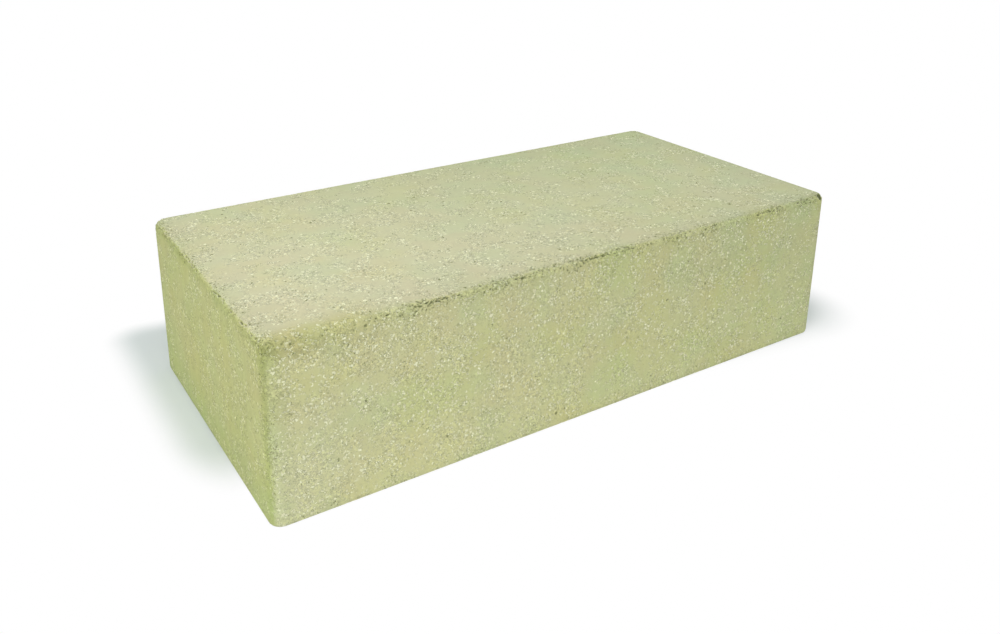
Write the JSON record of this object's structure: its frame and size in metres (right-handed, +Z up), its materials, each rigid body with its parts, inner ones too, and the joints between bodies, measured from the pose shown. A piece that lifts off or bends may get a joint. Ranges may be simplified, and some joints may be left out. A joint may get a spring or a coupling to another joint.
{
  "type": "solid brick",
  "caption": "Solid pressed brick: a plain full block with rounded upright arrises and softly worn bed edges, for laying in mortar on either bed.",
  "frame": {"origin": "middle of the lower bed, the face that the brick lies on", "axes": "+X along the length, +Y across the width from the front stretcher to the back one, +Z up from the lower bed to the upper bed"},
  "size_m": [0.25, 0.12, 0.065],
  "materials": {
    "pressed_face": "matte"
  },
  "bodies": {
    "root": {"brick": "pressed_face"}
  },
  "joints": []
}
